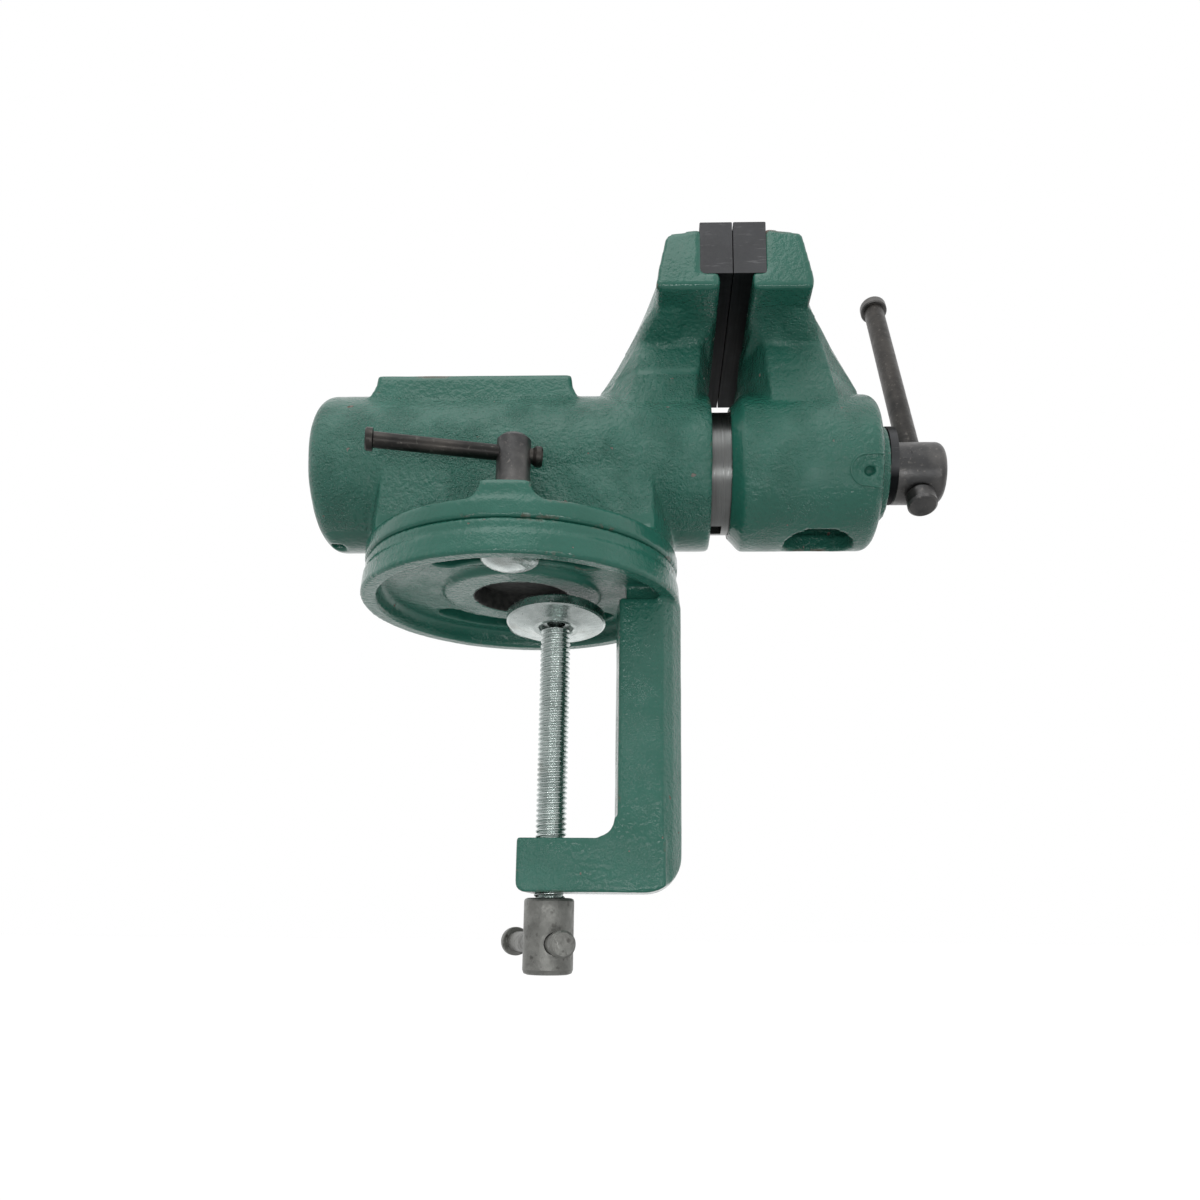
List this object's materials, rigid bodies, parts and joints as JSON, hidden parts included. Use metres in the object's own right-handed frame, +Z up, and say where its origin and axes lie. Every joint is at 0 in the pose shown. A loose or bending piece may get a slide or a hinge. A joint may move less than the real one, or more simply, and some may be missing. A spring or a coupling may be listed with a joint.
{
  "type": "bench vise",
  "caption": "Small bench vise with a round body, swivel base, built-in table clamp, anvil, sliding spindle bar and lever swivel locks.",
  "frame": {"origin": "on the swivel axis, in the plane of the base rim that rests on the table", "axes": "+Z up along the swivel axis, +X along the spindle towards the spindle bar, +Y across the jaws"},
  "size_m": [0.2613, 0.128, 0.3203],
  "materials": {
    "green_paint": "glossy green paint over rough cast iron, worn to bare iron on some edges",
    "dark_steel": "ground, dark oiled steel with fine scratches",
    "bare_steel": "turned bare steel, oily",
    "black_steel": "blackened steel with worn bright edges",
    "zinc_plate": "bright zinc plating, slightly dull",
    "grey_cast": "sand-cast grey metal, satin"
  },
  "bodies": {
    "base": {"clamp_base": "green_paint"},
    "swivel_body": {"fixed_body": "green_paint", "fixed_jaw_plate": "dark_steel", "fixed_plate_screws": "black_steel", "nut_sleeve": "bare_steel", "nut_set_screw": "black_steel", "guide_key": "bare_steel", "front_lock_bolt": "zinc_plate", "rear_lock_bolt": "zinc_plate"},
    "jaw": {"moving_jaw": "green_paint", "slide_tube": "bare_steel", "moving_jaw_plate": "dark_steel", "moving_plate_screws": "black_steel", "spindle_washer": "dark_steel"},
    "spindle": {"main_spindle": "bare_steel", "spindle_head": "black_steel", "spindle_head_pin": "zinc_plate", "spindle_circlip": "black_steel"},
    "handle": {"spindle_bar": "black_steel", "spindle_bar_knobs": "black_steel"},
    "front_lever": {"front_lock_post": "black_steel", "front_lock_bar": "black_steel"},
    "rear_lever": {"rear_lock_post": "black_steel", "rear_lock_bar": "black_steel"},
    "clamp_carrier": {"clamp_swivel_pin": "zinc_plate"},
    "screw": {"clamp_screw": "zinc_plate", "clamp_screw_head": "grey_cast"},
    "cross_bar": {"clamp_bar": "grey_cast", "clamp_bar_knob": "grey_cast"},
    "pad": {"clamp_pad": "zinc_plate"}
  },
  "joints": [
    {"name": "swivel", "type": "hinge", "parent": "base", "child": "swivel_body", "pos_m": [0, 0, 0.014], "axis": [0, 0, 1], "range_deg": [-32, 37]},
    {"name": "jaw_slide", "type": "slide", "parent": "swivel_body", "child": "jaw", "axis": [1, 0, 0], "range_m": [-0.0001, 0.0751]},
    {"name": "spindle_turn", "type": "hinge", "parent": "jaw", "child": "spindle", "pos_m": [0.148, 0, 0.0585], "axis": [1, 0, 0], "range_deg": [0, 6750]},
    {"name": "bar_slide", "type": "slide", "parent": "spindle", "child": "handle", "axis": [0, -0.4384, -0.8988], "range_m": [-0.0008, 0.1105]},
    {"name": "front_lock", "type": "hinge", "parent": "swivel_body", "child": "front_lever", "pos_m": [0.001, -0.0435, 0.04], "axis": [0, 0, 1], "range_deg": [-15, 160]},
    {"name": "rear_lock", "type": "hinge", "parent": "swivel_body", "child": "rear_lever", "pos_m": [-0.001, 0.0435, 0.04], "axis": [0, 0, 1], "range_deg": [-15, 160]},
    {"name": "clamp_travel", "type": "slide", "parent": "base", "child": "clamp_carrier", "axis": [0, 0, -1], "range_m": [-0.0001, 0.0651]},
    {"name": "clamp_turn", "type": "hinge", "parent": "clamp_carrier", "child": "screw", "pos_m": [0.014, 0, -0.06], "axis": [0, 0, -1], "range_deg": [0, 11700]},
    {"name": "cross_bar_slide", "type": "slide", "parent": "screw", "child": "cross_bar", "axis": [-0.3907, 0.9205, 0], "range_m": [-0.0345, 0.0045]},
    {"name": "pad_tilt", "type": "hinge", "parent": "clamp_carrier", "child": "pad", "pos_m": [0.014, 0, -0.0052], "axis": [1, 0, 0], "range_deg": [-0.8, 14]}
  ],
  "couplings": [
    {"joint": "jaw_slide", "follows": "spindle_turn", "m_per_rad": 0.00063662},
    {"joint": "clamp_travel", "follows": "clamp_turn", "m_per_rad": 0.00031831}
  ]
}
